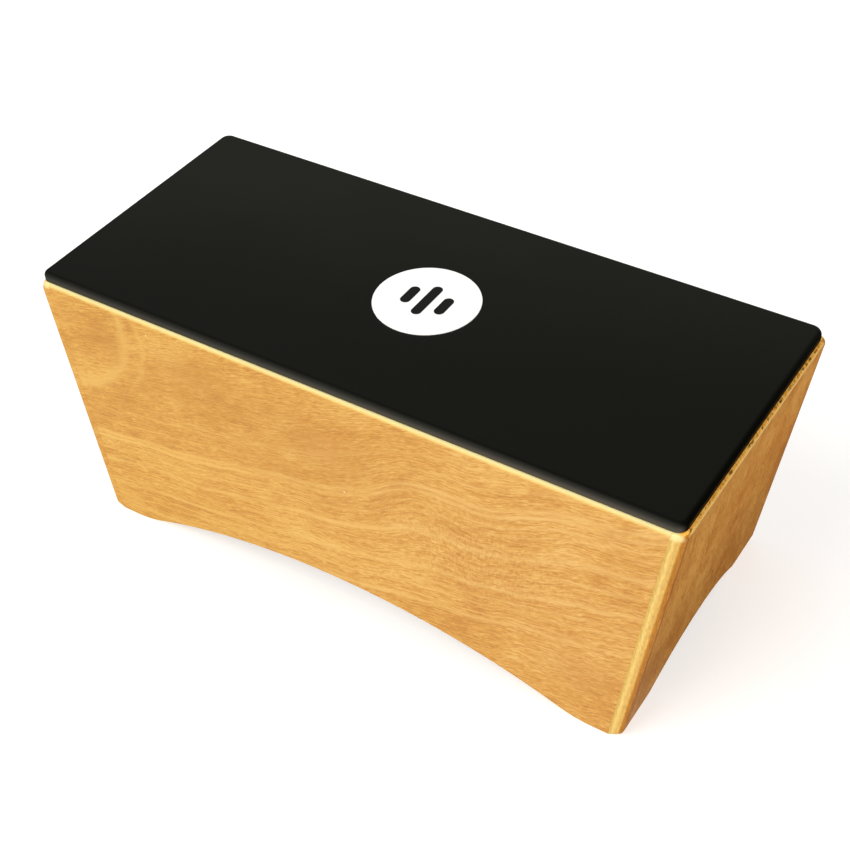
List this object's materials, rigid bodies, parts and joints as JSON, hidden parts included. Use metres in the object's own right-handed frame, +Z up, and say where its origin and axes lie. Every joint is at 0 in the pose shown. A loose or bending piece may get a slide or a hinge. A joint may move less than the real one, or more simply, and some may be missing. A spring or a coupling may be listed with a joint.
{
  "type": "lap cajon",
  "caption": "Long low wooden box drum with a thin black playing plate, leaning ends, arched lower edges and a divided open-bottomed body.",
  "frame": {"origin": "centre of the footprint, level with the undersides of the feet", "axes": "+X along the length towards the high-tone end, +Y towards the rear long panel, +Z up through the playing plate"},
  "size_m": [0.3996, 0.176, 0.1714],
  "materials": {
    "black_plate": "satin black lacquer over thin plywood",
    "badge": "smooth white print with a plain black pattern",
    "honey_plywood": "honey-coloured hardwood plywood under clear satin lacquer",
    "plain_plywood": "bare plywood",
    "pale_softwood": "bare sawn softwood"
  },
  "bodies": {
    "root": {"playing_plate": "black_plate", "badge_disc": "badge", "front_panel": "honey_plywood", "rear_panel": "honey_plywood", "left_end_panel": "honey_plywood", "right_end_panel": "honey_plywood", "divider_board": "plain_plywood", "lining_front_low": "pale_softwood", "lining_front_high": "pale_softwood", "lining_rear_low": "pale_softwood", "lining_rear_high": "pale_softwood", "lining_low_end": "pale_softwood", "lining_high_end": "pale_softwood", "glue_block_front_low": "pale_softwood", "glue_block_front_high": "pale_softwood", "glue_block_rear_low": "pale_softwood", "glue_block_rear_high": "pale_softwood"}
  },
  "joints": []
}
